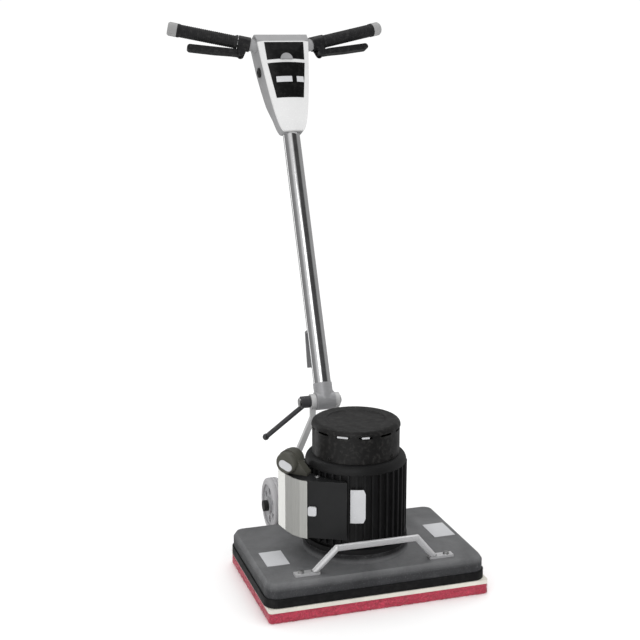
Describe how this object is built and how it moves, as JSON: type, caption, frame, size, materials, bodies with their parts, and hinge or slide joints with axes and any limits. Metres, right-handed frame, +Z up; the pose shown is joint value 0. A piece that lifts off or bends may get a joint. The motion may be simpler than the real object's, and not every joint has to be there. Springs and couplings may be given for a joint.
{
  "type": "orbital floor machine",
  "caption": "Floor machine with a rectangular orbiting pad under a low deck, an upright finned motor, rear transport wheels and a tilting handle with grips, triggers and a console.",
  "frame": {"origin": "on the floor under the motor shaft's axis, at the pad's underside", "axes": "+X along the head's long side, +Y towards the operator and wheels, +Z up"},
  "size_m": [0.5112, 0.7539, 1.1234],
  "materials": {
    "pad_red": "non-woven fibre",
    "holder_white": "moulded",
    "driver_metal": "cast",
    "bearing_steel": "ground",
    "deck_charcoal": "satin paint",
    "bumper_black": "matte",
    "label_light": "blank label",
    "chrome": "polished",
    "bolt_steel": "zinc plated",
    "motor_black": "satin black",
    "core_steel": "laminated",
    "winding_copper": "varnished wire",
    "cover_black": "satin black",
    "box_black": "satin black",
    "box_silver": "brushed",
    "can_dark": "satin",
    "yoke_grey": "satin",
    "cap_black": "moulded",
    "socket_grey": "satin",
    "console_silver": "satin silver",
    "console_grey": "moulded",
    "inset_black": "gloss",
    "grip_black": "textured",
    "cap_light": "moulded",
    "trigger_black": "moulded",
    "hook_grey": "moulded",
    "lever_dark": "satin",
    "tyre_grey": "non-marking",
    "hub_grey": "moulded"
  },
  "bodies": {
    "machine": {"deck_shell": "deck_charcoal", "deck_bumper": "bumper_black", "label_plates": "label_light", "carry_handle": "chrome", "deck_bolts": "bolt_steel", "isolators": "bumper_black", "motor_base": "motor_black", "lower_bearing": "bearing_steel", "motor_frame": "motor_black", "stator_core": "core_steel", "stator_windings": "winding_copper", "end_bell": "motor_black", "upper_bearing": "bearing_steel", "fan_cover": "cover_black", "motor_screws": "bolt_steel", "nameplate": "label_light", "control_box": "box_black", "box_side_cover": "box_silver", "box_latch": "label_light", "capacitor_can": "can_dark", "capacitor_strap": "can_dark", "axle_brackets": "yoke_grey", "yoke_leg_left": "yoke_grey", "yoke_leg_right": "yoke_grey", "wheel_axle": "bolt_steel", "axle_caps": "cap_black", "pivot_bolt": "bolt_steel"},
    "rotor": {"motor_shaft": "bearing_steel", "rotor_core": "core_steel", "cooling_fan": "cover_black", "counterweight": "core_steel"},
    "pad": {"eccentric_bearing": "bearing_steel", "driver_plate": "driver_metal", "pad_holder": "holder_white", "floor_pad": "pad_red"},
    "handle": {"handle_socket": "socket_grey", "handle_tube": "chrome", "console_front": "console_silver", "console_back": "console_grey", "inset_upper": "inset_black", "inset_lower": "inset_black", "console_bars": "label_light", "handlebar": "chrome", "grip_collars": "trigger_black", "grip_left": "grip_black", "grip_right": "grip_black", "grip_caps": "cap_light", "cord_inlet": "cap_black", "lower_cord_hook": "hook_grey", "upper_cord_hook": "hook_grey", "trigger_switch": "cap_black"},
    "lock_button": {"lock_button": "console_grey"},
    "trigger_left": {"trigger_left": "trigger_black"},
    "trigger_right": {"trigger_right": "trigger_black"},
    "tilt_lever": {"tilt_lever": "lever_dark"},
    "wheel_left": {"tyre_left": "tyre_grey", "wheel_hub_left": "hub_grey"},
    "wheel_right": {"tyre_right": "tyre_grey", "wheel_hub_right": "hub_grey"}
  },
  "joints": [
    {"name": "motor_spin", "type": "hinge", "parent": "machine", "child": "rotor", "pos_m": [0, 0, 0.2], "axis": [0, 0, 1], "continuous": true},
    {"name": "pad_orbit", "type": "hinge", "parent": "rotor", "child": "pad", "pos_m": [0.003, 0, 0.05], "axis": [0, 0, 1], "continuous": true},
    {"name": "handle_tilt", "type": "hinge", "parent": "machine", "child": "handle", "pos_m": [0, 0.208, 0.323], "axis": [1, 0, 0], "range_deg": [-50, 24]},
    {"name": "lever_release", "type": "hinge", "parent": "machine", "child": "tilt_lever", "pos_m": [0, 0.208, 0.323], "axis": [1, 0, 0], "range_deg": [0, 35], "stiffness_Nm_per_rad": 1.5, "springref_deg": -22.92},
    {"name": "squeeze_left", "type": "hinge", "parent": "handle", "child": "trigger_left", "pos_m": [-0.09469, 0.53216, 1.05335], "axis": [0.1161, 0.9074, -0.404], "range_deg": [0, 5], "stiffness_Nm_per_rad": 0.6, "springref_deg": -17.19},
    {"name": "squeeze_right", "type": "hinge", "parent": "handle", "child": "trigger_right", "pos_m": [0.09469, 0.53216, 1.05335], "axis": [0.1161, -0.9074, 0.404], "range_deg": [0, 5], "stiffness_Nm_per_rad": 0.6, "springref_deg": -17.19},
    {"name": "lock_press", "type": "slide", "parent": "handle", "child": "lock_button", "axis": [0, 0.9135, -0.4067], "range_m": [0, 0.003], "stiffness_N_per_m": 300, "springref_m": -0.003},
    {"name": "wheel_left_roll", "type": "hinge", "parent": "machine", "child": "wheel_left", "pos_m": [-0.115, 0.212, 0.094], "axis": [1, 0, 0], "continuous": true},
    {"name": "wheel_right_roll", "type": "hinge", "parent": "machine", "child": "wheel_right", "pos_m": [0.115, 0.212, 0.094], "axis": [1, 0, 0], "continuous": true}
  ],
  "couplings": [
    {"joint": "pad_orbit", "follows": "motor_spin", "ratio": -1}
  ]
}
